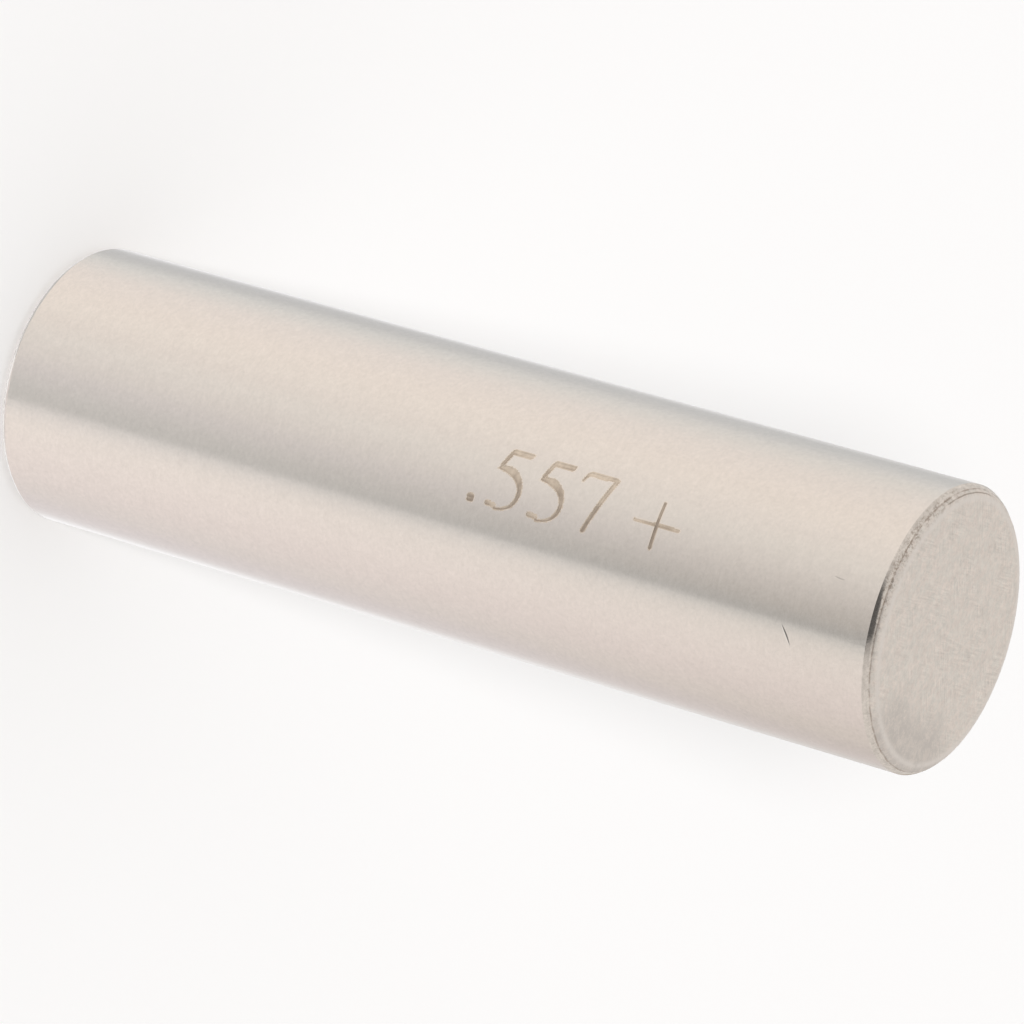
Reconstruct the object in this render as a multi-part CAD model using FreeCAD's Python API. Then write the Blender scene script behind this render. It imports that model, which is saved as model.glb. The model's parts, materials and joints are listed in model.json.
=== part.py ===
import FreeCAD, Part

import math
import os

# A plain pin gauge: one solid cylinder of hardened steel, ground and lapped to size over its
# whole length, with the same broken edge at both ends. It stands on one end face, with its
# axis on +Z and the origin at the middle of that face. All sizes are in millimetres.

# Driving dimensions

INCH = 25.4

# The size that the pin checks: its diameter between the two broken edges.
GAUGING_DIAMETER = 0.557 * INCH
# From one end face to the other.
OVERALL_LENGTH = 2.0 * INCH

# The broken edge of an end is a turned bevel, from the ground side in to a crisp ridge, and
# then a lapped rounding, from the ridge into the flat end face, which it meets smoothly.
BEVEL_HEIGHT = 0.30     # along the axis, from the ridge to the ground side
BEVEL_DEPTH = 0.20      # radially, from the ground side in to the ridge
ROUNDING_HEIGHT = 0.22  # along the axis, from the end face to the ridge
ROUNDING_WIDTH = 0.55   # radially, from the ridge in to the flat face

NODE = "gauge_pin"


def end_points():
    """Corners of half an end's section, as (radius, height above the end face).

    The rounding is an arc of one circle. Its centre lies straight behind the rim of the flat
    face, so the arc touches the face there, and it passes through the ridge. That makes its
    radius (width^2 + height^2) / (2 * height).
    """
    ground_radius = GAUGING_DIAMETER / 2
    ridge_radius = ground_radius - BEVEL_DEPTH
    rim_radius = ridge_radius - ROUNDING_WIDTH
    arc_radius = (ROUNDING_WIDTH**2 + ROUNDING_HEIGHT**2) / (2 * ROUNDING_HEIGHT)
    half_angle = math.atan2(ROUNDING_WIDTH, arc_radius - ROUNDING_HEIGHT) / 2
    return {
        "centre": (0, 0),
        "face_rim": (rim_radius, 0),
        "rounding_middle": (
            rim_radius + arc_radius * math.sin(half_angle),
            arc_radius * (1 - math.cos(half_angle)),
        ),
        "ridge": (ridge_radius, ROUNDING_HEIGHT),
        "ground_side": (ground_radius, ROUNDING_HEIGHT + BEVEL_HEIGHT),
    }


def place_end(is_top):
    """The corners of an end in the XZ plane: heights run up from Z 0, or down from the top."""
    return {
        name: FreeCAD.Vector(radius, 0, OVERALL_LENGTH - height if is_top else height)
        for name, (radius, height) in end_points().items()
    }


def end_edges(end):
    """An end's outline from its centre out to the ground side: face, rounding, bevel."""
    return [
        Part.makeLine(end["centre"], end["face_rim"]),
        Part.Arc(end["face_rim"], end["rounding_middle"], end["ridge"]).toShape(),
        Part.makeLine(end["ridge"], end["ground_side"]),
    ]


def make_pin():
    """Half of the pin's section, revolved once about the axis."""
    bottom = place_end(is_top=False)
    top = place_end(is_top=True)
    side = Part.makeLine(bottom["ground_side"], top["ground_side"])
    axis = Part.makeLine(top["centre"], bottom["centre"])
    outline = end_edges(bottom) + [side] + end_edges(top)[::-1] + [axis]
    section = Part.Face(Part.Wire(outline))
    return section.revolve(FreeCAD.Vector(0, 0, 0), FreeCAD.Vector(0, 0, 1), 360)


os.makedirs("parts", exist_ok=True)
pin = make_pin()
pin.exportStep(os.path.join("parts", NODE + ".step"))
print(NODE, pin.ShapeType, "valid:", pin.isValid(), "volume in mm3:", round(pin.Volume, 2))
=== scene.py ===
import json
import math

import bpy
import numpy as np
from mathutils import Matrix, Vector


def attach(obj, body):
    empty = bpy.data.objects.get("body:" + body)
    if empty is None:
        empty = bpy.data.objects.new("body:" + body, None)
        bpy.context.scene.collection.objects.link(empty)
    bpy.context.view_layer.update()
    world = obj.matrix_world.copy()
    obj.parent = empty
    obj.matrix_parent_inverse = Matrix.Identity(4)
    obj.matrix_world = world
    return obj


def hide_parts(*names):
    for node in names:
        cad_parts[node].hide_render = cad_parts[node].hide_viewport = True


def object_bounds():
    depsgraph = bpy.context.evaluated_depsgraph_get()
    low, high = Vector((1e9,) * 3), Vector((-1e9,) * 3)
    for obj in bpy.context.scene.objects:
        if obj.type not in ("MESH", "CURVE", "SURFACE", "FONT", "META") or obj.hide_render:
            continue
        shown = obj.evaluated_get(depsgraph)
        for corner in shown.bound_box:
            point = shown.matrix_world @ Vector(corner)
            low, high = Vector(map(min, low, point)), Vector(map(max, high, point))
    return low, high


# The looks of a plain pin gauge: a ground steel cylinder with lapped ends that stands on one
# of them. Its size in inches is engraved along the side. Meshes are in metres, in the frame
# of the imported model: +Z is the pin's axis, and the floor is Z 0.

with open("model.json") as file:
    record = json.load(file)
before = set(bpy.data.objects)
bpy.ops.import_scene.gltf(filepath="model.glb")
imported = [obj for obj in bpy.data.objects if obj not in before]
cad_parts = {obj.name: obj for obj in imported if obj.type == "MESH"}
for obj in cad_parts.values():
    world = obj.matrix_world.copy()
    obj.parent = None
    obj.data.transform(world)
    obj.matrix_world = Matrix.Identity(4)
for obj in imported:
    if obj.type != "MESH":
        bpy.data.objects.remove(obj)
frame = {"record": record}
cad_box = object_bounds()

MM = 0.001

# ---------------------------------------------------------------- sizes, from the frame

gauging = next(m for m in frame["record"]["mounts"] if m["name"] == "gauging_cylinder")
RADIUS = gauging["dims"]["r_mm"] * MM
LENGTH = cad_box[1].z - cad_box[0].z
# Each end break takes what the ground cylinder leaves of the whole length.
BREAK_HEIGHT = (LENGTH - gauging["dims"]["length_mm"] * MM) / 2
RIDGE_DEPTH = 0.20 * MM        # radially, from the ground side in to the ridge
RIDGE_HEIGHT = 0.22 * MM       # along the axis, from the end face to the ridge
ROUNDING_WIDTH = 0.55 * MM     # radially, from the ridge in to the flat face
RIDGE_RADIUS = RADIUS - RIDGE_DEPTH
FLAT_RADIUS = RIDGE_RADIUS - ROUNDING_WIDTH
BEVEL_SWELL = 0.012 * MM       # how far the bevel stands proud of a straight one

# ---------------------------------------------------------------- the engraved size

# Numerals 3 mm high that read towards the top end. A stroke is a Bezier curve of control
# points (along, up, half the stroke's width, shade). The first three are in mm, from the
# figure's own corner, and the shade is a share from -1 to 1: how much painted shade darkens
# the groove there.
LINE_START = 27.60 * MM        # height of the first figure's left side above the floor
LINE_LENGTH = 11.9 * MM
FIGURE_HEIGHT = 3.05 * MM
ENGRAVED_AZIMUTH = math.radians(-90)
GROOVE_DEPTH = 0.018 * MM
WALL_WIDTH = 0.045 * MM
LOWER_SIDE = (0.4, -0.92)       # the side of each stroke that gets more painted shade, along and up

DOT = [
    [(0.20, 0.28, 0.13, 0.6), (0.35, 0.27, 0.13, 0.6)],
    [(0.35, 0.13, 0.13, 0.6), (0.21, 0.13, 0.13, 0.6)],
]
FIVE = [
    [(0.46, 2.91, 0.12, -0.1), (1.44, 2.92, 0.12, -0.05)],
    [(1.42, 2.93, 0.11, 0.0), (1.56, 3.02, 0.03, 0.0)],
    [(0.13, 2.10, 0.08, 0.2), (0.43, 2.90, 0.09, 0.0)],
    [(0.00, 1.94, 0.02, 0.3), (0.54, 2.17, 0.32, -0.4), (1.52, 1.82, 0.12, 0.1), (1.54, 0.95, 0.10, 0.4)],
    [(1.54, 0.95, 0.10, 0.4), (1.53, 0.38, 0.09, 0.3), (1.12, 0.03, 0.05, 0.5), (0.42, 0.02, 0.045, 0.6)],
    [(-0.01, 0.19, 0.12, 0.1), (0.42, 0.15, 0.10, 0.0)],
]
SEVEN = [
    [(0.00, 2.44, 0.03, 0.2), (0.10, 2.84, 0.06, -0.1), (0.28, 2.88, 0.11, -0.3)],
    [(0.28, 2.88, 0.11, -0.3), (1.74, 2.91, 0.09, -0.2)],
    [(1.76, 2.89, 0.10, 0.0), (0.87, 0.15, 0.10, 0.5)],
]
PLUS = [
    [(1.29, 2.47, 0.08, 0.3), (1.30, 0.24, 0.085, 0.5)],
    [(0.05, 1.36, 0.055, -0.1), (2.50, 1.38, 0.075, 0.0)],
]
# Each figure with its place along the line, in mm from the start.
LINE = [(DOT, 0.0), (FIVE, 1.23), (FIVE, 3.61), (SEVEN, 5.80), (PLUS, 9.13)]


def bezier(points, steps):
    """Points on a Bezier curve of any degree: the sum of its control points, each times
    its Bernstein polynomial, C(n, k) t^k (1 - t)^(n - k)."""
    control = np.array(points, float)
    degree = len(control) - 1
    t = np.linspace(0, 1, steps + 1)
    weights = [
        math.comb(degree, k) * t**k * (1 - t) ** (degree - k) for k in range(degree + 1)
    ]
    return np.stack(weights, axis=1) @ control


def stroke_pieces():
    """All strokes of the engraved line as short straight pieces: two arrays with their first
    and last points, (along, up, half width, grime), with the sizes in metres."""
    first, last = [], []
    for figure, offset in LINE:
        for stroke in figure:
            curve = bezier(stroke, 1 if len(stroke) == 2 else 14)
            curve[:, 0] += offset
            first.append(curve[:-1])
            last.append(curve[1:])
    scale = np.array([MM, MM, MM, 1.0])
    return np.concatenate(first) * scale, np.concatenate(last) * scale


def nearest_stroke(along, up):
    """Distance from each point to the edge of the nearest stroke, below zero inside it: for
    each piece, the distance to its nearest point less the half width there. Also the painted
    shade at each point: what the stroke gives, and up to half as much again towards its
    lower side."""
    nearest = np.full(along.shape, np.inf)
    groove_shade = np.zeros(along.shape)
    for a, b in zip(*stroke_pieces()):
        step = b[:2] - a[:2]
        x = along - a[0]
        y = up - a[1]
        t = np.clip((x * step[0] + y * step[1]) / (step @ step), 0, 1)
        x = x - t * step[0]
        y = y - t * step[1]
        half = a[2] + t * (b[2] - a[2])
        distance = np.hypot(x, y) - half
        closer = distance < nearest
        nearest = np.where(closer, distance, nearest)
        lower = np.clip((LOWER_SIDE[0] * x + LOWER_SIDE[1] * y) / half, -1, 1)
        groove_shade = np.where(closer, a[3] + t * (b[3] - a[3]) + 0.5 * lower, groove_shade)
    return nearest, groove_shade


def stroke_distance(along, up):
    return nearest_stroke(along, up)[0]


# ---------------------------------------------------------------- the pin's mesh

# The side is a coarse grid with a window of fine grid where it is engraved. The end breaks
# have finer columns. Where a fine edge meets a coarse one, the coarse face has more corners.
COLUMNS = 120
WINDOW_COLUMNS = 10            # coarse columns that the window covers
WINDOW_RINGS = 10              # coarse rows that the window covers
FINER_ACROSS = 10              # fine steps in a coarse column of the window
FINER_UP = 34                  # fine steps in a coarse row of the window
FINER_ROUND = 6                # fine steps in a coarse column at the end breaks
SIDE_STEP = 1.3 * MM           # between the side's rings above and below the window
WINDOW_MARGIN = 0.2 * MM
WINDOW_LOW = LINE_START - WINDOW_MARGIN
WINDOW_HIGH = LINE_START + LINE_LENGTH + WINDOW_MARGIN
TURN = 2 * math.pi / COLUMNS
FIRST_AZIMUTH = ENGRAVED_AZIMUTH - TURN * WINDOW_COLUMNS / 2
SHARP_ANGLE = math.radians(14)  # edges that turn more than this stay crisp

GROUND, BEVEL, LAPPED, GROOVE = range(4)

# Nicks in the ridge, as (azimuth in degrees, width in mm, depth in mm).
TOP_NICKS = [
    (-150, 0.5, 0.022), (-143, 0.3, 0.03), (-128, 0.2, 0.018), (-121, 0.25, 0.026), (-116, 0.5, 0.02),
    (-101, 0.4, 0.015), (-93, 0.3, 0.02), (-42, 0.12, 0.034), (-27, 0.14, 0.036), (-31, 0.3, 0.012),
    (-12, 0.4, 0.014), (24, 0.3, 0.02), (71, 0.5, 0.025), (112, 0.25, 0.02), (160, 0.35, 0.03),
]
BOTTOM_NICKS = [
    (-110, 0.3, 0.02), (-64, 0.4, 0.025), (-8, 0.25, 0.03), (55, 0.5, 0.02), (130, 0.3, 0.03),
]


# What each point knows of the engraving: how far it has sunk as a share of the depth, how much
# painted shade darkens the groove there, and how far it is from the strokes, up to 1 mm.
SHARE_NAMES = ("sunk", "groove_shade", "clear_of_strokes")


class Shell:
    """Collects the points and faces of one closed mesh, as arrays of numbered grids."""

    def __init__(self):
        self.points = []
        self.shares = []
        self.count = 0
        self.faces = []
        self.finish = []

    def add_points(self, points, shares=(0.0, 0.0, 1.0)):
        """Adds a grid of points and gives back their numbers, in the same grid. The shares are
        their values for SHARE_NAMES."""
        shape = points.shape[:-1]
        number = self.count + np.arange(int(np.prod(shape))).reshape(shape)
        self.points.append(points.reshape(-1, 3))
        self.shares.append([np.broadcast_to(share, shape).ravel() for share in shares])
        self.count += number.size
        return number

    def add_faces(self, corners, finish):
        """Adds faces: an array with one row of point numbers for each."""
        self.faces.extend(corners.tolist())
        self.finish.append(np.broadcast_to(finish, len(corners)))

    def add_grid(self, number, finish):
        """Adds the squares of a grid of points, seen from outside with its rows upwards."""
        squares = [number[:-1, :-1], number[:-1, 1:], number[1:, 1:], number[1:, :-1]]
        self.add_faces(np.stack(squares, axis=-1).reshape(-1, 4), finish)


def closed(number):
    """A grid of rings with its first column repeated after its last one."""
    return np.concatenate([number, number[:, :1]], axis=1)


def runs(edge, steps):
    """Cuts a fine edge into runs of that many steps, whose ends are shared."""
    count = (len(edge) - 1) // steps
    return edge[np.arange(count)[:, None] * steps + np.arange(steps + 1)]


def on_cylinder(radius, azimuth, height):
    """Points (radius cos azimuth, radius sin azimuth, height)."""
    radius, azimuth, height = np.broadcast_arrays(radius, azimuth, height)
    return np.stack([radius * np.cos(azimuth), radius * np.sin(azimuth), height], axis=-1)


def slide_to(along, up, level, step):
    """Moves grid points onto the line where stroke_distance has that level. A point slides
    along the grid line that crosses the stroke's edge more steeply, and at most half a step,
    so none passes its neighbour."""
    nudge = step / 50
    distance = stroke_distance(along, up) - level
    slope_along = (stroke_distance(along + nudge, up) - level - distance) / nudge
    slope_up = (stroke_distance(along, up + nudge) - level - distance) / nudge
    steeper = np.abs(slope_along) >= np.abs(slope_up)
    slope = np.where(steeper, slope_along, slope_up)
    near = np.abs(distance) <= 0.5 * step * np.abs(slope)
    shift = np.where(near, -distance / np.where(near, slope, 1), 0)
    return along + np.where(steeper, shift, 0), up + np.where(steeper, 0, shift)


def engraved_window():
    """The window's points: a grid on the ground cylinder that sinks inside the strokes by the
    groove's depth, over the width of its wall. Gives the points and their SHARE_NAMES."""
    azimuth = FIRST_AZIMUTH + TURN * np.arange(WINDOW_COLUMNS * FINER_ACROSS + 1) / FINER_ACROSS
    height = np.linspace(WINDOW_LOW, WINDOW_HIGH, WINDOW_RINGS * FINER_UP + 1)
    height, azimuth = np.meshgrid(height, azimuth, indexing="ij")
    along = height - LINE_START
    up = FIGURE_HEIGHT / 2 - (azimuth - ENGRAVED_AZIMUTH) * RADIUS
    step = (WINDOW_HIGH - WINDOW_LOW) / (WINDOW_RINGS * FINER_UP)
    inner = (slice(1, -1), slice(1, -1))
    for level in (0.0, -WALL_WIDTH):
        along[inner], up[inner] = slide_to(along[inner], up[inner], level, step)
    distance, groove_shade = nearest_stroke(along, up)
    sunk = np.clip(-distance / WALL_WIDTH, 0, 1)
    azimuth = ENGRAVED_AZIMUTH + (FIGURE_HEIGHT / 2 - up) / RADIUS
    points = on_cylinder(RADIUS - GROOVE_DEPTH * sunk, azimuth, along + LINE_START)
    return points, (sunk, groove_shade, np.clip(distance / MM, 0, 1))


def add_side(shell, bottom_ring, top_ring):
    """The ground side between the two end breaks, whose fine rings it shares."""
    below = np.linspace(BREAK_HEIGHT, WINDOW_LOW, round((WINDOW_LOW - BREAK_HEIGHT) / SIDE_STEP) + 1)
    top = LENGTH - BREAK_HEIGHT
    above = np.linspace(WINDOW_HIGH, top, round((top - WINDOW_HIGH) / SIDE_STEP) + 1)
    beside = np.linspace(WINDOW_LOW, WINDOW_HIGH, WINDOW_RINGS + 1)
    height = np.concatenate([below[1:-1], beside, above[1:-1]])
    low = len(below) - 2
    high = low + WINDOW_RINGS
    window = (slice(low, high + 1), slice(0, WINDOW_COLUMNS + 1))

    points, shares = engraved_window()
    fine = shell.add_points(points, shares)
    outside = np.ones((len(height), COLUMNS), bool)
    outside[window] = False
    points = on_cylinder(RADIUS, FIRST_AZIMUTH + TURN * np.arange(COLUMNS)[None], height[:, None])
    number = np.zeros(outside.shape, int)
    number[outside] = shell.add_points(points[outside])
    number[window] = fine[::FINER_UP, ::FINER_ACROSS]
    number = closed(number)

    shell.add_grid(number[:low], GROUND)
    shell.add_grid(number[high + 1:], GROUND)
    shell.add_grid(number[low - 1:low + 1, WINDOW_COLUMNS:], GROUND)
    shell.add_grid(number[high:high + 2, WINDOW_COLUMNS:], GROUND)
    shell.add_grid(number[low:high + 1, WINDOW_COLUMNS + 1:-1], GROUND)

    # The faces that meet the window's lower, upper, left and right edges.
    edge = runs(fine[0], FINER_ACROSS)[:, ::-1]
    start = number[low - 1, :WINDOW_COLUMNS, None]
    shell.add_faces(np.hstack([start, number[low - 1, 1:WINDOW_COLUMNS + 1, None], edge]), GROUND)
    edge = runs(fine[-1], FINER_ACROSS)
    start = number[high + 1, 1:WINDOW_COLUMNS + 1, None]
    shell.add_faces(np.hstack([edge, start, number[high + 1, :WINDOW_COLUMNS, None]]), GROUND)
    edge = runs(fine[:, 0], FINER_UP)
    start = number[low:high, -2, None]
    shell.add_faces(np.hstack([start, edge, number[low + 1:high + 1, -2, None]]), GROUND)
    edge = runs(fine[:, -1], FINER_UP)[:, ::-1]
    beyond = WINDOW_COLUMNS + 1
    start = number[low:high, beyond, None]
    shell.add_faces(np.hstack([start, number[low + 1:high + 1, beyond, None], edge]), GROUND)

    # The faces that meet the end breaks.
    edge = runs(np.append(bottom_ring, bottom_ring[0]), FINER_ROUND)
    shell.add_faces(np.hstack([edge, number[0, 1:, None], number[0, :-1, None]]), GROUND)
    edge = runs(np.append(top_ring, top_ring[0]), FINER_ROUND)[:, ::-1]
    shell.add_faces(np.hstack([number[-1, :-1, None], number[-1, 1:, None], edge]), GROUND)

    in_groove = shares[0] > 0
    floor_or_wall = in_groove[:-1, :-1] | in_groove[:-1, 1:] | in_groove[1:, 1:] | in_groove[1:, :-1]
    shell.add_grid(fine, np.where(floor_or_wall, GROOVE, GROUND).ravel())


def end_profile():
    """One end's rings as (radius, depth below the end face), from the flat face outwards: the
    flat, the arc that leaves it smoothly, the ridge, and a bevel that swells as a parabola."""
    arc = (ROUNDING_WIDTH**2 + RIDGE_HEIGHT**2) / (2 * RIDGE_HEIGHT)
    flat = FLAT_RADIUS * np.array([0.25, 0.5, 0.75, 0.93])
    flat = np.stack([flat, 0 * flat], axis=1)
    turn = np.linspace(0, math.atan2(ROUNDING_WIDTH, arc - RIDGE_HEIGHT), 13)
    rounding = np.stack([FLAT_RADIUS + arc * np.sin(turn), arc * (1 - np.cos(turn))], axis=1)
    share = np.linspace(0, 1, 9)[1:, None]
    run = np.array([RIDGE_DEPTH, BREAK_HEIGHT - RIDGE_HEIGHT])
    outward = np.array([run[1], -run[0]]) / math.hypot(*run)
    bevel = [RIDGE_RADIUS, RIDGE_HEIGHT] + share * run
    bevel = bevel + 4 * BEVEL_SWELL * share * (1 - share) * outward
    return np.concatenate([flat, rounding, bevel])


def nicked(profile, azimuth, nicks, seed):
    """The end's radius and depth at each ring and azimuth. Near the ridge the surface is worn
    in towards the axis: each nick is a bell curve of its width and depth, over a slight waviness
    of twelve sine waves, and it fades with the square of the distance from the ridge."""
    random = np.random.RandomState(seed)
    waves = random.uniform(20, 190, 12).round()
    starts = random.uniform(0, 2 * math.pi, 12)
    wear = 0.0015 * (1 + np.sin(np.outer(azimuth, waves) + starts)).sum(axis=1)
    for degrees, width, depth in nicks:
        gap = (azimuth - math.radians(degrees) + math.pi) % (2 * math.pi) - math.pi
        wear = wear + depth * np.exp(-((gap * RADIUS / (width / 2 * MM)) ** 2))
    from_ridge = np.hypot(profile[:, 0] - RIDGE_RADIUS, profile[:, 1] - RIDGE_HEIGHT) / MM
    fade = np.exp(-((from_ridge / 0.08) ** 2))
    worn = np.outer(fade, wear) * MM
    return profile[:, :1] - 0.7 * worn, profile[:, 1:] + 0.7 * worn


def add_end(shell, is_top):
    """One end face with its edge break. Gives back the ring where the ground side starts."""
    profile = end_profile()
    azimuth = FIRST_AZIMUTH + TURN / FINER_ROUND * np.arange(COLUMNS * FINER_ROUND)
    nicks, seed = (TOP_NICKS, 3) if is_top else (BOTTOM_NICKS, 8)
    radius, depth = nicked(profile, azimuth, nicks, seed)
    height = LENGTH - depth if is_top else depth
    number = shell.add_points(on_cylinder(radius, azimuth[None], height))
    pole = shell.add_points(np.array([[0, 0, LENGTH if is_top else 0.0]]))[0]
    ring = closed(number)
    inner = ring[0]
    outwards = np.stack([inner[:-1], inner[1:], np.full(len(inner) - 1, pole)], axis=1)
    shell.add_faces(outwards if is_top else outwards[:, ::-1], LAPPED)
    bevel_start = len(profile) - 9
    for part, finish in ((ring[:bevel_start + 1], LAPPED), (ring[bevel_start:], BEVEL)):
        shell.add_grid(part[::-1] if is_top else part, finish)
    return number[-1]


def build_pin():
    shell = Shell()
    bottom_ring = add_end(shell, False)
    top_ring = add_end(shell, True)
    add_side(shell, bottom_ring, top_ring)
    mesh = bpy.data.meshes.new("pin_gauge")
    mesh.from_pydata(np.concatenate(shell.points).tolist(), [], shell.faces)
    for name, values in zip(SHARE_NAMES, zip(*shell.shares)):
        attribute = mesh.attributes.new(name, "FLOAT", "POINT")
        attribute.data.foreach_set("value", np.concatenate(values).astype(np.float32))
    finish = np.concatenate(shell.finish)
    mesh.polygons.foreach_set("material_index", finish.astype(np.int32))
    mesh.polygons.foreach_set("use_smooth", np.ones(len(finish), bool))
    mesh.update()
    mesh.set_sharp_from_angle(angle=SHARP_ANGLE)
    pin = bpy.data.objects.new("pin_gauge", mesh)
    bpy.context.scene.collection.objects.link(pin)
    return pin


# ---------------------------------------------------------------- node helpers

def add(tree, kind, inputs=None, **settings):
    """Adds a node to a tree. Each input is a plain value, or the output that feeds it."""
    made = tree.nodes.new(kind)
    for name, value in settings.items():
        setattr(made, name, value)
    for name, value in (inputs or {}).items():
        if isinstance(value, bpy.types.NodeSocket):
            tree.links.new(value, made.inputs[name])
        else:
            made.inputs[name].default_value = value
    return made


def calc(tree, operation, *values):
    """The output of a Math node."""
    return add(tree, "ShaderNodeMath", dict(enumerate(values)), operation=operation).outputs[0]


def times(tree, a, b):
    return calc(tree, "MULTIPLY", a, b)


def less(tree, a, b):
    return calc(tree, "SUBTRACT", a, b)


def hypotenuse(tree, a, b):
    """The square root of a^2 + b^2."""
    return calc(tree, "SQRT", calc(tree, "ADD", times(tree, a, a), times(tree, b, b)))


def noise(tree, vector, scale, detail=2.0, roughness=0.5):
    """A noise pattern's value, about 0.5 on average."""
    inputs = {"Vector": vector, "Scale": scale, "Detail": detail, "Roughness": roughness}
    return add(tree, "ShaderNodeTexNoise", inputs).outputs[0]


def stretched(tree, vector, scale, turn=0.0):
    """The vector turned about Z and then scaled, for a pattern that is longer one way."""
    turned = add(
        tree, "ShaderNodeVectorRotate", {"Vector": vector, "Angle": turn}, rotation_type="Z_AXIS"
    )
    scaled = {0: turned.outputs[0], 1: scale}
    return add(tree, "ShaderNodeVectorMath", scaled, operation="MULTIPLY").outputs[0]


def ramp(tree, value, *stops):
    """A smooth step from 0 at the first value to 1 at the second."""
    inputs = {"Value": value, "From Min": stops[0], "From Max": stops[1]}
    return add(
        tree, "ShaderNodeMapRange", inputs, interpolation_type="SMOOTHSTEP"
    ).outputs[0]


def new_group(name, inputs, outputs):
    """An empty shader group. Its sockets are (name, socket type, value) and (name, type)."""
    group = bpy.data.node_groups.new(name, "ShaderNodeTree")
    for label, kind, value in inputs:
        socket = group.interface.new_socket(label, in_out="INPUT", socket_type=kind)
        if value is not None:
            socket.default_value = value
    for label, kind in outputs:
        group.interface.new_socket(label, in_out="OUTPUT", socket_type=kind)
    return group, group.nodes.new("NodeGroupInput"), group.nodes.new("NodeGroupOutput")


def use_group(tree, group, inputs=None):
    return add(tree, "ShaderNodeGroup", inputs, node_tree=group).outputs


# ---------------------------------------------------------------- effects shared by the finishes

def make_places_group():
    """Where a point of the pin lies, in mm: Place is its Object vector, Radius its distance
    from the axis, Depth its distance from the nearer end face, Round its distance round the
    ground side from the engraving's middle, and Height its height."""
    group, given, result = new_group(
        "places_on_pin",
        [("Object", "NodeSocketVector", None)],
        [("Place", "NodeSocketVector"), ("Radius", "NodeSocketFloat"), ("Depth", "NodeSocketFloat"),
         ("Round", "NodeSocketFloat"), ("Height", "NodeSocketFloat")],
    )
    inputs = {0: given.outputs["Object"], "Scale": 1 / MM}
    place = add(group, "ShaderNodeVectorMath", inputs, operation="SCALE").outputs[0]
    x, y, height = add(group, "ShaderNodeSeparateXYZ", {0: place}).outputs
    radius = hypotenuse(group, x, y)
    from_top = less(group, LENGTH / MM, height)
    # Measured from -Y, so the line where the angle starts again is at the back of the pin.
    angle = calc(group, "ARCTAN2", x, times(group, y, -1.0))
    links = {
        "Place": place,
        "Radius": radius,
        "Depth": calc(group, "MINIMUM", height, from_top),
        "Round": times(group, angle, RADIUS / MM),
        "Height": height,
    }
    for name, output in links.items():
        group.links.new(output, result.inputs[name])
    return group


def make_grain_group():
    """Grinding grain: a coarse and a fine mottle, with faint streaks that run round the pin.
    Shade is a multiplier near 1 for a colour, and Height is for a bump."""
    group, given, result = new_group(
        "ground_grain",
        [("Place", "NodeSocketVector", None), ("Mottle", "NodeSocketFloat", 0.1),
         ("Specks", "NodeSocketFloat", 0.1), ("Streaks", "NodeSocketFloat", 0.02)],
        [("Shade", "NodeSocketFloat"), ("Height", "NodeSocketFloat")],
    )
    place = given.outputs["Place"]
    mottle = noise(group, stretched(group, place, (1.3, 1.3, 1.5)), 1.0, 2.0, 0.8)
    specks = noise(group, stretched(group, place, (4.0, 4.0, 4.6)), 1.0, 2.0, 0.8)
    streaks = noise(group, stretched(group, place, (1.2, 1.2, 9.0)), 1.0, 2.0)
    shade = 1.0
    for name, pattern in (("Mottle", mottle), ("Specks", specks), ("Streaks", streaks)):
        part = times(group, less(group, pattern, 0.5), given.outputs[name])
        shade = calc(group, "ADD", part, shade)
    group.links.new(shade, result.inputs["Shade"])
    height = calc(group, "ADD", times(group, streaks, 0.15), specks)
    group.links.new(calc(group, "ADD", height, mottle), result.inputs["Height"])
    return group


def make_arc_group():
    """A soft mask for part of the way round the pin: 1 near the azimuth Middle, and 0 beyond
    Half Width plus Softness, all in degrees."""
    group, given, result = new_group(
        "arc_of_pin",
        [("Place", "NodeSocketVector", None), ("Radius", "NodeSocketFloat", 1.0),
         ("Middle", "NodeSocketFloat", 0.0), ("Half Width", "NodeSocketFloat", 30.0),
         ("Softness", "NodeSocketFloat", 10.0)],
        [("Mask", "NodeSocketFloat")],
    )
    middle = calc(group, "RADIANS", times(group, given.outputs["Middle"], -1.0))
    inputs = {"Vector": given.outputs["Place"], "Angle": middle}
    turned = add(group, "ShaderNodeVectorRotate", inputs, rotation_type="Z_AXIS").outputs[0]
    ahead = add(group, "ShaderNodeSeparateXYZ", {0: turned}).outputs[0]
    cosine = calc(group, "DIVIDE", ahead, given.outputs["Radius"])
    off = calc(group, "DEGREES", calc(group, "ARCCOSINE", cosine))
    end = calc(group, "ADD", given.outputs["Half Width"], given.outputs["Softness"])
    mask = less(group, 1.0, ramp(group, off, given.outputs["Half Width"], end))
    group.links.new(mask, result.inputs["Mask"])
    return group


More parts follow.
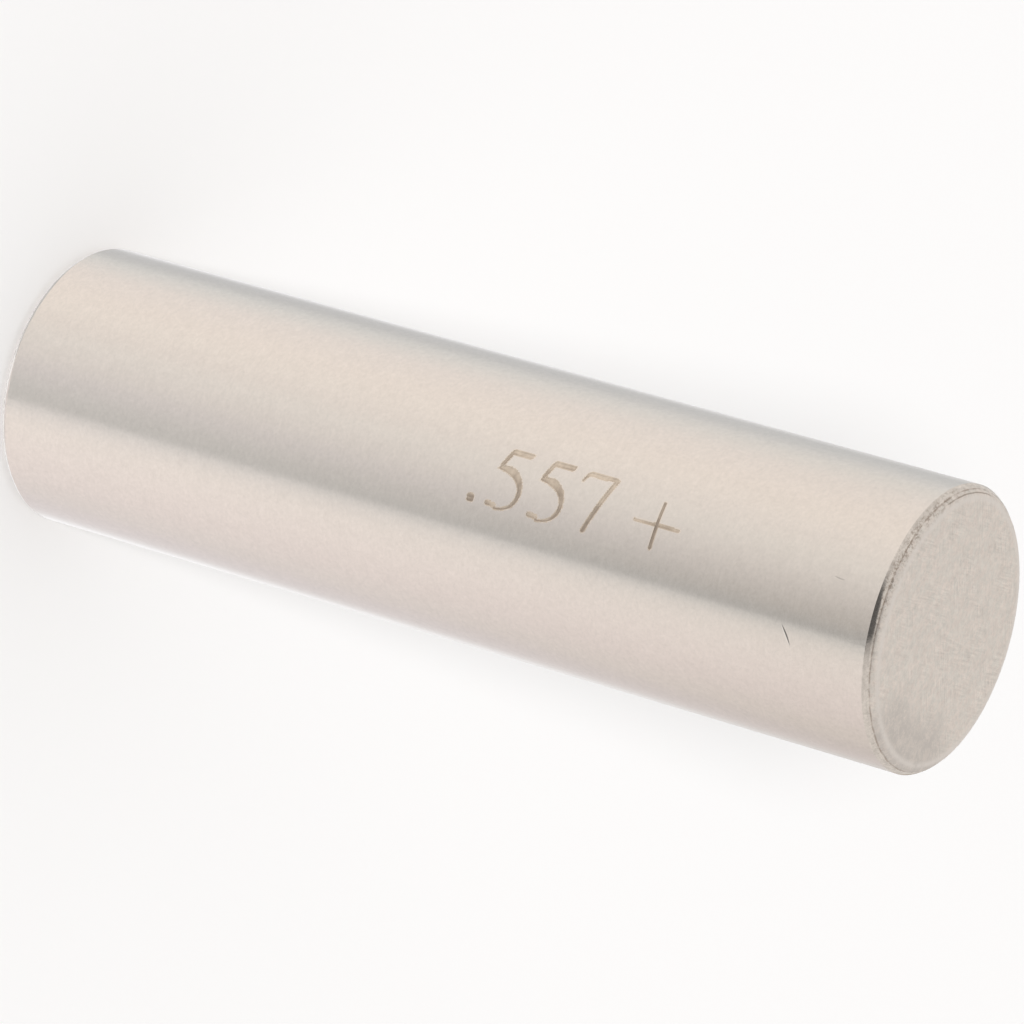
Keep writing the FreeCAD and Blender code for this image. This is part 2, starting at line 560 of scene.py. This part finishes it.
def make_ring_group():
    """A soft line round the pin, such as the ridge: a mask that is 1 on a circle given by its
    radius and depth in mm and fades over Width. It wanders a little, and is broken up along
    its length where a slow noise falls below Breaks."""
    group, given, result = new_group(
        "line_round_pin",
        [("Place", "NodeSocketVector", None), ("Radius", "NodeSocketFloat", 0.0),
         ("Depth", "NodeSocketFloat", 0.0), ("Ring Radius", "NodeSocketFloat", 0.0),
         ("Ring Depth", "NodeSocketFloat", 0.0), ("Width", "NodeSocketFloat", 0.05),
         ("Breaks", "NodeSocketFloat", 0.5), ("Wander", "NodeSocketFloat", 0.05)],
        [("Mask", "NodeSocketFloat")],
    )
    side = {k: given.outputs[k] for k in ("Radius", "Depth", "Ring Radius", "Ring Depth")}
    wander = noise(group, stretched(group, given.outputs["Place"], (1.6, 1.6, 0.0)), 1.0, 3.0)
    wander = times(group, less(group, wander, 0.5), given.outputs["Wander"])
    out = calc(group, "ADD", less(group, side["Radius"], side["Ring Radius"]), wander)
    down = calc(group, "ADD", less(group, side["Depth"], side["Ring Depth"]), wander)
    gap = hypotenuse(group, out, down)
    near = less(group, 1.0, ramp(group, gap, 0.0, given.outputs["Width"]))
    worn = noise(group, stretched(group, given.outputs["Place"], (1.7, 1.7, 0.3)), 1.0, 4.0, 0.7)
    start = less(group, given.outputs["Breaks"], 0.1)
    end = calc(group, "ADD", given.outputs["Breaks"], 0.1)
    group.links.new(times(group, near, ramp(group, worn, start, end)), result.inputs["Mask"])
    return group


def make_lapping_group():
    """Fine lapping lines, nearly straight and all one way: a value about 0.5 on average. They
    show in patches and fade out between them."""
    group, given, result = new_group(
        "lapping_lines",
        [("Place", "NodeSocketVector", None), ("Turn", "NodeSocketFloat", 0.0),
         ("Pitch", "NodeSocketFloat", 9.0), ("Length", "NodeSocketFloat", 0.7)],
        [("Lines", "NodeSocketFloat")],
    )
    place = given.outputs["Place"]
    angle = calc(group, "RADIANS", times(group, given.outputs["Turn"], -1.0))
    bend = noise(group, stretched(group, place, (0.25, 0.25, 0.0), 1.0), 1.0, 1.0)
    angle = calc(group, "ADD", angle, times(group, less(group, bend, 0.5), 0.05))
    inputs = {"Vector": place, "Angle": angle}
    turned = add(group, "ShaderNodeVectorRotate", inputs, rotation_type="Z_AXIS").outputs[0]
    scale = {0: given.outputs["Length"], 1: given.outputs["Pitch"], 2: 0.0}
    scale = add(group, "ShaderNodeCombineXYZ", scale).outputs[0]
    laid = add(group, "ShaderNodeVectorMath", {0: turned, 1: scale}, operation="MULTIPLY").outputs[0]
    lines = less(group, noise(group, laid, 1.0, 3.0, 0.7), 0.5)
    patches = noise(group, stretched(group, turned, (0.5, 0.5, 0.0)), 1.0, 1.0)
    lines = times(group, lines, ramp(group, patches, 0.4, 0.65))
    group.links.new(calc(group, "ADD", lines, 0.5), result.inputs["Lines"])
    return group


def make_scratch_group():
    """A short scratch on the ground side: a mask for an arc of a circle, laid on the unrolled
    side. Middle is the arc's own middle, as (round, height, 0) in mm, Turn the way it runs in
    degrees up from the level, Bend how far its middle stands off the straight line, Half
    Length and Width its size in mm. It tapers towards both ends. The second output is a
    painted highlight along one side of it, where the metal it has pushed up would catch the light."""
    group, given, result = new_group(
        "scratch",
        [("Round", "NodeSocketFloat", 0.0), ("Height", "NodeSocketFloat", 0.0),
         ("Middle", "NodeSocketVector", None), ("Turn", "NodeSocketFloat", 0.0),
         ("Bend", "NodeSocketFloat", 0.0), ("Half Length", "NodeSocketFloat", 0.5),
         ("Width", "NodeSocketFloat", 0.05)],
        [("Mask", "NodeSocketFloat"), ("Burr Highlight", "NodeSocketFloat")],
    )
    inputs = {0: given.outputs["Round"], 1: given.outputs["Height"]}
    here = add(group, "ShaderNodeCombineXYZ", inputs).outputs[0]
    angle = calc(group, "RADIANS", times(group, given.outputs["Turn"], -1.0))
    inputs = {"Vector": here, "Center": given.outputs["Middle"], "Angle": angle}
    turned = add(group, "ShaderNodeVectorRotate", inputs, rotation_type="Z_AXIS").outputs[0]
    inputs = {0: turned, 1: given.outputs["Middle"]}
    moved = add(group, "ShaderNodeVectorMath", inputs, operation="SUBTRACT").outputs[0]
    along, across, _ = add(group, "ShaderNodeSeparateXYZ", {0: moved}).outputs
    share = calc(group, "DIVIDE", along, given.outputs["Half Length"])
    share = times(group, share, share)
    across = calc(group, "ADD", across, times(group, share, given.outputs["Bend"]))
    taper = times(group, less(group, 1.0, share), given.outputs["Width"])
    taper = calc(group, "MAXIMUM", taper, 0.0001)
    off = calc(group, "DIVIDE", calc(group, "ABSOLUTE", across), taper)
    mask = less(group, 1.0, ramp(group, off, 0.4, 1.0))
    group.links.new(mask, result.inputs["Mask"])
    # A painted highlight along one side of the scratch.
    wide = less(group, 1.0, ramp(group, off, 1.2, 3.0))
    burr_highlight = times(group, wide, calc(group, "GREATER_THAN", 0.0, across))
    group.links.new(times(group, burr_highlight, less(group, 1.0, mask)), result.inputs["Burr Highlight"])
    return group


# ---------------------------------------------------------------- finishes

STEEL = (0.80, 0.745, 0.695)
# A lighter steel for the painted highlight on the rounding.
HIGHLIGHT_STEEL = (0.86, 0.81, 0.765)
# A dark colour for the specks of dirt by the ridge, and for the dark lines there, one of which is painted
# shade.
DIRT_AND_SHADE = (0.26, 0.19, 0.14)


def new_material(name):
    """A metallic material, with its tree, its shader and its Object coordinates."""
    material = bpy.data.materials.new(name)
    material.use_nodes = True
    tree = material.node_tree
    shader = tree.nodes["Principled BSDF"]
    shader.inputs["Metallic"].default_value = 1
    coordinates = tree.nodes.new("ShaderNodeTexCoord")
    return material, tree, shader, coordinates.outputs["Object"]


def tinted(tree, colour, shade):
    """A colour times a shade."""
    return add(tree, "ShaderNodeVectorMath", {0: colour, "Scale": shade}, operation="SCALE").outputs[0]


def blend(tree, share, a, b):
    """Colour a where the share is 0, colour b where it is 1."""
    mix = tree.nodes.new("ShaderNodeMix")
    mix.data_type = "RGBA"
    for socket, value in ((mix.inputs[0], share), (mix.inputs[6], a), (mix.inputs[7], b)):
        if isinstance(value, bpy.types.NodeSocket):
            tree.links.new(value, socket)
        else:
            socket.default_value = (*value, 1) if isinstance(value, tuple) else value
    return mix.outputs[2]


def bump(tree, height, distance):
    return add(tree, "ShaderNodeBump", {"Height": height, "Distance": distance}).outputs[0]


def attribute(tree, name):
    return add(tree, "ShaderNodeAttribute", attribute_name=name).outputs["Fac"]


def edge_marks(tree, groups, places, colour):
    """Marks round the end breaks: a brighter ring on the rounding, which is a painted highlight;
    specks of dirt on and beside the ridge, thickest along one arc; a fine dark line on the
    ridge itself, which is painted shade in place of a fine step there; and a second dark line
    just inside it along another arc."""
    ring = {"Place": places["Place"], "Radius": places["Radius"], "Depth": places["Depth"]}
    on_ridge = {"Ring Radius": RIDGE_RADIUS / MM, "Ring Depth": RIDGE_HEIGHT / MM}
    arc = {"Place": places["Place"], "Radius": places["Radius"]}

    # A brighter ring on the rounding: a painted highlight.
    bright = use_group(
        tree, groups["ring"],
        {**ring, "Ring Radius": FLAT_RADIUS / MM + 0.15, "Ring Depth": 0.01, "Width": 0.27,
         "Breaks": 0.37},
    )
    colour = blend(tree, times(tree, bright["Mask"], 0.75), colour, HIGHLIGHT_STEEL)

    specks = noise(tree, stretched(tree, places["Place"], (4.0, 4.0, 5.0)), 1.0, 3.0, 0.9)
    inputs = {**arc, "Middle": -113.0, "Half Width": 24.0, "Softness": 26.0}
    dirty = use_group(tree, groups["arc"], inputs)
    least = less(tree, 0.55, times(tree, dirty["Mask"], 0.08))
    specks = ramp(tree, specks, least, calc(tree, "ADD", least, 0.17))
    near = use_group(tree, groups["ring"], {**ring, **on_ridge, "Width": 0.5, "Breaks": 0.2})
    share = calc(tree, "ADD", 0.38, times(tree, dirty["Mask"], 0.24))
    share = times(tree, times(tree, specks, near["Mask"]), share)
    colour = blend(tree, share, colour, DIRT_AND_SHADE)

    # A fine dark line on the ridge: painted shade in place of a fine step there.
    line = use_group(tree, groups["ring"], {**ring, **on_ridge, "Width": 0.065, "Breaks": 0.45})
    colour = blend(tree, times(tree, line["Mask"], 0.7), colour, DIRT_AND_SHADE)

    second = use_group(
        tree, groups["ring"],
        {**ring, "Ring Radius": RIDGE_RADIUS / MM - 0.16, "Ring Depth": 0.10, "Width": 0.055,
         "Breaks": 0.40},
    )
    inputs = {**arc, "Middle": -155.0, "Half Width": 15.0, "Softness": 8.0}
    here = use_group(tree, groups["arc"], inputs)
    share = times(tree, times(tree, second["Mask"], here["Mask"]), 0.7)
    return blend(tree, share, colour, DIRT_AND_SHADE)


def ground_side(groups):
    """The ground side: fine grain round the pin, which spreads reflections along it, a lighter rim
    beside the engraved strokes, which is a painted highlight, and two small scratches near the
    top end, the deeper one with a painted highlight along one side."""
    material, tree, shader, place = new_material("ground_side")
    places = use_group(tree, groups["places"], {"Object": place})
    grain = use_group(tree, groups["grain"], {"Place": places["Place"], "Mottle": 0.09, "Specks": 0.17})
    colour = tinted(tree, STEEL, grain["Shade"])
    # A lighter rim beside the strokes: a painted highlight where a raised lip of metal would catch the
    # light.
    burr_highlight = less(tree, 1.0, ramp(tree, attribute(tree, "clear_of_strokes"), 0.02, 0.11))
    colour = blend(tree, times(tree, burr_highlight, 0.8), colour, (0.845, 0.76, 0.68))
    across = {"Round": places["Round"], "Height": places["Height"]}
    deep = use_group(
        tree, groups["scratch"],
        {**across, "Middle": (3.44, 46.08, 0.0), "Turn": 32.0, "Bend": 0.05,
         "Half Length": 0.56, "Width": 0.055},
    )
    faint = use_group(
        tree, groups["scratch"],
        {**across, "Middle": (0.2, 48.1, 0.0), "Turn": 84.0, "Bend": -0.02,
         "Half Length": 0.32, "Width": 0.045},
    )
    # A painted highlight along one side of the deep scratch.
    colour = blend(tree, times(tree, deep["Burr Highlight"], 0.7), colour, (0.92, 0.88, 0.84))
    marks = calc(tree, "ADD", times(tree, deep["Mask"], 0.9), times(tree, faint["Mask"], 0.3))
    colour = blend(tree, marks, colour, (0.14, 0.135, 0.13))
    tree.links.new(colour, shader.inputs["Base Color"])
    height = less(tree, grain["Height"], times(tree, deep["Mask"], 2.0))
    tree.links.new(bump(tree, height, 0.0012 * MM), shader.inputs["Normal"])
    shader.inputs["Roughness"].default_value = 0.18
    shader.inputs["Anisotropic"].default_value = 0.8
    shader.inputs["Anisotropic Rotation"].default_value = 0.25
    tangent = add(tree, "ShaderNodeTangent", direction_type="RADIAL", axis="Z")
    tree.links.new(tangent.outputs["Tangent"], shader.inputs["Tangent"])
    return material


def turned_bevel(groups):
    """The bevel of the end break: turned and left bright, but pitted."""
    material, tree, shader, place = new_material("turned_bevel")
    places = use_group(tree, groups["places"], {"Object": place})
    inputs = {"Place": places["Place"], "Mottle": 0.35, "Specks": 0.5, "Streaks": 0.3}
    grain = use_group(tree, groups["grain"], inputs)
    colour = tinted(tree, (0.775, 0.715, 0.655), grain["Shade"])
    tree.links.new(edge_marks(tree, groups, places, colour), shader.inputs["Base Color"])
    tree.links.new(bump(tree, grain["Height"], 0.004 * MM), shader.inputs["Normal"])
    shader.inputs["Roughness"].default_value = 0.17
    return material


def lapped_end(groups):
    """The lapped end face and its rounding: cloudy patches of a warmer and a cooler grey, with
    two sets of lapping lines over them."""
    material, tree, shader, place = new_material("lapped_end")
    places = use_group(tree, groups["places"], {"Object": place})
    grain = use_group(tree, groups["grain"], {"Place": places["Place"], "Mottle": 0.17, "Specks": 0.32})
    first = use_group(tree, groups["lapping"], {"Place": places["Place"], "Turn": 44.0})
    second = use_group(tree, groups["lapping"], {"Place": places["Place"], "Turn": 100.0, "Pitch": 7.0})
    lines = calc(tree, "ADD", first["Lines"], second["Lines"])
    shade = calc(tree, "ADD", grain["Shade"], times(tree, less(tree, lines, 1.0), 0.5))
    clouds = noise(tree, stretched(tree, places["Place"], (1.5, 1.5, 0.0)), 1.0, 4.0, 0.9)
    clouds = ramp(tree, clouds, 0.40, 0.60)
    colour = tinted(tree, blend(tree, clouds, (0.80, 0.755, 0.70), (0.835, 0.76, 0.70)), shade)
    # One part of the face near its edge is duller.
    dull = use_group(
        tree, groups["arc"],
        {"Place": places["Place"], "Radius": places["Radius"], "Middle": 0.0, "Half Width": 22.0,
         "Softness": 24.0},
    )
    outer = times(tree, ramp(tree, places["Radius"], 3.4, 5.4), dull["Mask"])
    outer = times(tree, outer, less(tree, 1.0, times(tree, clouds, 0.55)))
    colour = blend(tree, outer, colour, (0.66, 0.615, 0.575))
    tree.links.new(edge_marks(tree, groups, places, colour), shader.inputs["Base Color"])
    tree.links.new(bump(tree, lines, 0.002 * MM), shader.inputs["Normal"])
    shader.inputs["Roughness"].default_value = 0.42
    return material


def engraved_groove(groups):
    """The grooves of the figures: tan, and darker where shade is painted in: more on some strokes
    and towards their lower sides, and varied in random patches.
    """
    material, tree, shader, place = new_material("engraved_groove")
    places = use_group(tree, groups["places"], {"Object": place})
    inputs = {"Place": places["Place"], "Mottle": 0.3, "Specks": 0.4}
    grain = use_group(tree, groups["grain"], inputs)
    patches = noise(tree, stretched(tree, places["Place"], (1.5, 1.5, 1.5)), 1.0, 3.0)
    shift = times(tree, less(tree, patches, 0.5), 1.2)
    # Painted shade: the groove darkens by the shade share stored on each point, varied in random patches,
    # and only where it has sunk.
    painted_groove_shade = ramp(tree, calc(tree, "ADD", attribute(tree, "groove_shade"), shift), -0.15, 0.6)
    painted_groove_shade = times(tree, painted_groove_shade, ramp(tree, attribute(tree, "sunk"), 0.0, 0.5))
    floor = blend(tree, ramp(tree, patches, 0.4, 0.65), (0.76, 0.66, 0.55), (0.69, 0.59, 0.485))
    colour = tinted(tree, blend(tree, painted_groove_shade, floor, (0.45, 0.375, 0.31)), grain["Shade"])
    tree.links.new(colour, shader.inputs["Base Color"])
    tree.links.new(bump(tree, grain["Height"], 0.006 * MM), shader.inputs["Normal"])
    shader.inputs["Roughness"].default_value = 0.5
    return material


# ---------------------------------------------------------------- the studio

CAMERA_AZIMUTH = math.radians(-80.33)
CAMERA_DOWN = math.radians(30.19)
CAMERA_ROLL = math.radians(106.05)
CAMERA_DISTANCE = 341.8 * MM
CAMERA_LENS = 247.0
AIM = Vector((0.25, 0.04, 26.2)) * MM

# The soft panels of the studio, which the steel mirrors. Each stop is the angle round the pin
# in degrees from the point behind it, and the panels' colour there: near the floor, and above.
PANELS = [
    (0, (1.20, 1.23, 1.27), (0.50, 0.46, 0.42)),
    (10, (1.06, 1.09, 1.13), (0.51, 0.49, 0.46)),
    (17, (0.86, 0.88, 0.90), (0.53, 0.53, 0.51)),
    (23, (0.67, 0.68, 0.70), (0.58, 0.59, 0.58)),
    (32, (0.62, 0.64, 0.66), (0.63, 0.64, 0.63)),
    (42, (0.62, 0.64, 0.66), (0.78, 0.80, 0.79)),
    (52, (0.75, 0.78, 0.79), (0.86, 0.84, 0.82)),
    (62, (0.85, 0.86, 0.86), (0.87, 0.84, 0.79)),
    (80, (0.96, 0.92, 0.90), (0.89, 0.85, 0.80)),
    (105, (1.00, 0.95, 0.91), (0.94, 0.88, 0.82)),
    (122, (0.99, 0.95, 0.91), (0.93, 0.87, 0.81)),
    (135, (0.94, 0.90, 0.87), (0.91, 0.87, 0.82)),
    (150, (0.92, 0.90, 0.88), (0.83, 0.80, 0.74)),
    (165, (0.88, 0.86, 0.85), (0.70, 0.67, 0.62)),
    (180, (0.82, 0.81, 0.83), (0.49, 0.45, 0.37)),
    (195, (0.76, 0.77, 0.78), (0.28, 0.23, 0.17)),
    (205.8, (0.73, 0.74, 0.74), (0.10, 0.10, 0.09)),
    (209, (0.84, 0.84, 0.85), (0.48, 0.50, 0.46)),
    (216, (0.96, 0.94, 0.94), (0.67, 0.65, 0.59)),
    (228, (1.04, 1.00, 0.98), (0.73, 0.69, 0.65)),
    (248, (1.03, 0.98, 0.97), (0.74, 0.68, 0.64)),
    (270, (0.97, 0.92, 0.92), (0.69, 0.62, 0.58)),
    (295, (0.89, 0.86, 0.87), (0.60, 0.54, 0.46)),
    (310, (0.86, 0.83, 0.86), (0.52, 0.46, 0.39)),
    (325, (0.87, 0.85, 0.88), (0.54, 0.46, 0.41)),
    (334, (0.97, 0.97, 1.00), (0.46, 0.38, 0.32)),
    (345, (1.16, 1.18, 1.22), (0.33, 0.27, 0.21)),
    (360, (1.20, 1.23, 1.27), (0.50, 0.46, 0.42)),
]
OVERHEAD = (0.765, 0.745, 0.725)
# The camera stand, in the same degrees and in degrees above the level.
CAMERA_STAND = (0.115, 0.115, 0.115)
STAND_LEFT = 157.0
STAND_RIGHT = 204.0
STAND_LEANS_ABOVE = 35.0
STAND_LEAN = 1.3               # degrees sideways for each degree up

FLOOR_HEIGHT = -0.01 * MM      # just clear of the pin, so the two never flicker
FLOOR_RADIUS = 2.0


def panel_ramp(tree, share, colours):
    """A Color Ramp through the panels' stops."""
    made = add(tree, "ShaderNodeValToRGB", {"Fac": share})
    stops = made.color_ramp.elements
    stops.remove(stops[1])
    stops[0].position = 0
    stops[0].color = (*colours[0], 1)
    for (degrees, *_), colour in zip(PANELS[1:], colours[1:]):
        stops.new(degrees / 360).color = (*colour, 1)
    return made.outputs["Color"]


def make_world():
    """Soft panels all round, whose tone changes with the angle round the pin and with height,
    a lighter ceiling, and the dark camera stand in front."""
    world = bpy.data.worlds.new("studio")
    bpy.context.scene.world = world
    world.use_nodes = True
    tree = world.node_tree
    direction = tree.nodes.new("ShaderNodeTexCoord").outputs["Generated"]
    x, y, z = add(tree, "ShaderNodeSeparateXYZ", {0: direction}).outputs
    rise = calc(tree, "DEGREES", calc(tree, "ARCSINE", z))
    turn = calc(tree, "DEGREES", calc(tree, "ARCTAN2", y, x))
    turn = less(tree, turn, math.degrees(CAMERA_AZIMUTH) - 180)
    turn = calc(tree, "FLOORED_MODULO", turn, 360.0)
    share = calc(tree, "DIVIDE", turn, 360.0)
    low = panel_ramp(tree, share, [stop[1] for stop in PANELS])
    high = panel_ramp(tree, share, [stop[2] for stop in PANELS])
    colour = blend(tree, ramp(tree, rise, -33.0, -20.0), low, high)
    # The stand's left side leans in above 35 degrees. Its right side is upright, and beside it
    # a grey panel fades out.
    above = calc(tree, "MAXIMUM", less(tree, rise, STAND_LEANS_ABOVE), 0.0)
    left = calc(tree, "ADD", times(tree, above, STAND_LEAN), STAND_LEFT)
    left_side = ramp(tree, less(tree, turn, left), -14.0, 9.0)
    right_side = ramp(tree, turn, STAND_RIGHT + 3.0, STAND_RIGHT)
    grey = times(tree, ramp(tree, turn, STAND_RIGHT + 34.0, STAND_RIGHT - 2.0), 0.5)
    right_side = calc(tree, "MAXIMUM", right_side, grey)
    upright = times(tree, ramp(tree, rise, 0.0, 12.0), ramp(tree, rise, 88.0, 58.0))
    stand = times(tree, times(tree, left_side, right_side), upright)
    colour = blend(tree, ramp(tree, rise, -22.0, -8.0), colour, OVERHEAD)
    colour = blend(tree, stand, colour, CAMERA_STAND)
    tree.links.new(colour, tree.nodes["Background"].inputs["Color"])


def stage_ring(name, rings, material, filled):
    """A round sheet that faces up and inwards: circles of 96 points at each (radius, height)."""
    turn = np.linspace(0, 2 * math.pi, 97)[:-1]
    number = np.arange(96 * len(rings)).reshape(len(rings), 96)
    ring = closed(number)
    squares = [ring[:-1, :-1], ring[1:, :-1], ring[1:, 1:], ring[:-1, 1:]]
    faces = np.stack(squares, axis=-1).reshape(-1, 4).tolist()
    points = np.concatenate([on_cylinder(r, turn, h) for r, h in rings])
    mesh = bpy.data.meshes.new(name)
    mesh.from_pydata(points.tolist(), [], faces + ([number[0].tolist()] if filled else []))
    mesh.materials.append(material)
    made = bpy.data.objects.new(name, mesh)
    bpy.context.scene.collection.objects.link(made)
    # The steel mirrors the panels round it instead of the bare floor and backdrop.
    made.visible_glossy = False
    return made


def make_floor():
    material = bpy.data.materials.new("floor")
    material.use_nodes = True
    shader = material.node_tree.nodes["Principled BSDF"]
    shader.inputs["Base Color"].default_value = (0.965, 0.97, 0.98, 1)
    shader.inputs["Roughness"].default_value = 1
    shader.inputs["Specular IOR Level"].default_value = 0
    rings = [(0.2, FLOOR_HEIGHT), (FLOOR_RADIUS, FLOOR_HEIGHT)]
    stage_ring("floor", rings, material, True)


def make_backdrop():
    """A white wall round the floor, for views from the side. It only shows to the camera, so it
    neither lights the pin nor keeps the panels' light from it."""
    material = bpy.data.materials.new("backdrop")
    material.use_nodes = True
    shader = material.node_tree.nodes["Principled BSDF"]
    shader.inputs["Base Color"].default_value = (0, 0, 0, 1)
    shader.inputs["Specular IOR Level"].default_value = 0
    shader.inputs["Emission Color"].default_value = (0.97, 0.97, 0.975, 1)
    shader.inputs["Emission Strength"].default_value = 1
    rings = [(FLOOR_RADIUS, FLOOR_HEIGHT), (2.1, 0.1), (2.2, 2.0)]
    wall = stage_ring("backdrop", rings, material, False)
    wall.visible_diffuse = False
    wall.visible_shadow = False


def make_light():
    """One soft lamp from the camera's side, which the steel doesn't mirror."""
    lamp = bpy.data.lights.new("key", "SUN")
    lamp.energy = 2.0
    lamp.angle = math.radians(8)
    key = bpy.data.objects.new("key", lamp)
    key.visible_glossy = False
    key.rotation_euler = towards_camera().to_track_quat("Z", "Y").to_euler()
    bpy.context.scene.collection.objects.link(key)


def towards_camera():
    level = math.cos(CAMERA_DOWN)
    return Vector(
        (level * math.cos(CAMERA_AZIMUTH), level * math.sin(CAMERA_AZIMUTH), math.sin(CAMERA_DOWN))
    )


def make_camera():
    camera = bpy.data.cameras.new("camera")
    camera.lens = CAMERA_LENS
    camera.sensor_width = 36
    camera.clip_start = 0.01
    camera.clip_end = 10
    eye = bpy.data.objects.new("camera", camera)
    back = towards_camera()
    upright = back.to_track_quat("Z", "Y").to_matrix()
    turned = upright @ Matrix.Rotation(CAMERA_ROLL, 3, "Z")
    eye.matrix_world = Matrix.Translation(AIM + back * CAMERA_DISTANCE) @ turned.to_4x4()
    bpy.context.scene.collection.objects.link(eye)
    bpy.context.scene.camera = eye


groups = {
    "places": make_places_group(),
    "grain": make_grain_group(),
    "arc": make_arc_group(),
    "ring": make_ring_group(),
    "lapping": make_lapping_group(),
    "scratch": make_scratch_group(),
}
pin = build_pin()
for make in (ground_side, turned_bevel, lapped_end, engraved_groove):
    pin.data.materials.append(make(groups))
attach(pin, "root")
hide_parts("gauge_pin")

make_world()
make_floor()
make_backdrop()
make_light()
make_camera()
bpy.context.scene.view_settings.view_transform = "Standard"
